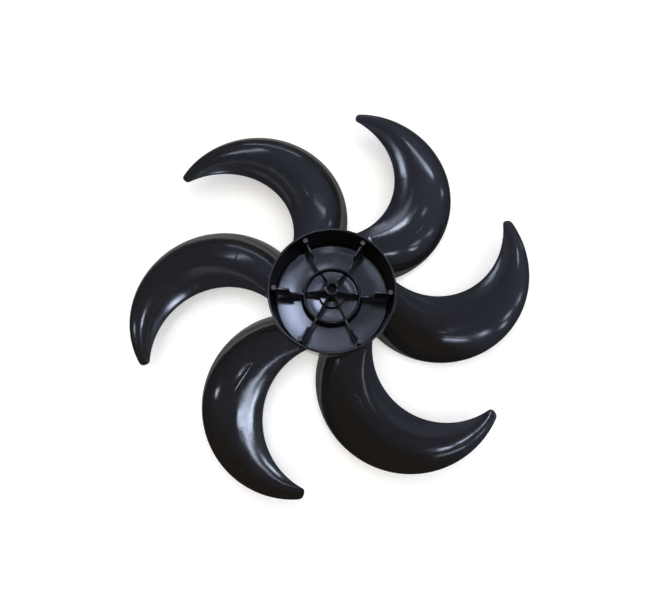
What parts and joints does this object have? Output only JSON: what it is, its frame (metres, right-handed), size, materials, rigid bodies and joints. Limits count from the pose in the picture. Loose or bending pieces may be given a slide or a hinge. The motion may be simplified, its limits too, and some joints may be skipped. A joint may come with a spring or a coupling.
{
  "type": "pedestal fan blade",
  "caption": "Moulded propeller of a pedestal fan: forward-swept, twisted blades around a ribbed, cup-shaped hub whose bored boss slides on the motor shaft.",
  "frame": {"origin": "centre of the hub's front face, on the axis of the motor shaft", "axes": "+Z along the shaft from the front of the hub to its open motor side; +X to the right and +Y up as seen from the motor side in the picture"},
  "size_m": [0.3514, 0.344, 0.0405],
  "materials": {
    "black_plastic": "gloss"
  },
  "bodies": {
    "root": {"fan_blade": "black_plastic"}
  },
  "joints": []
}
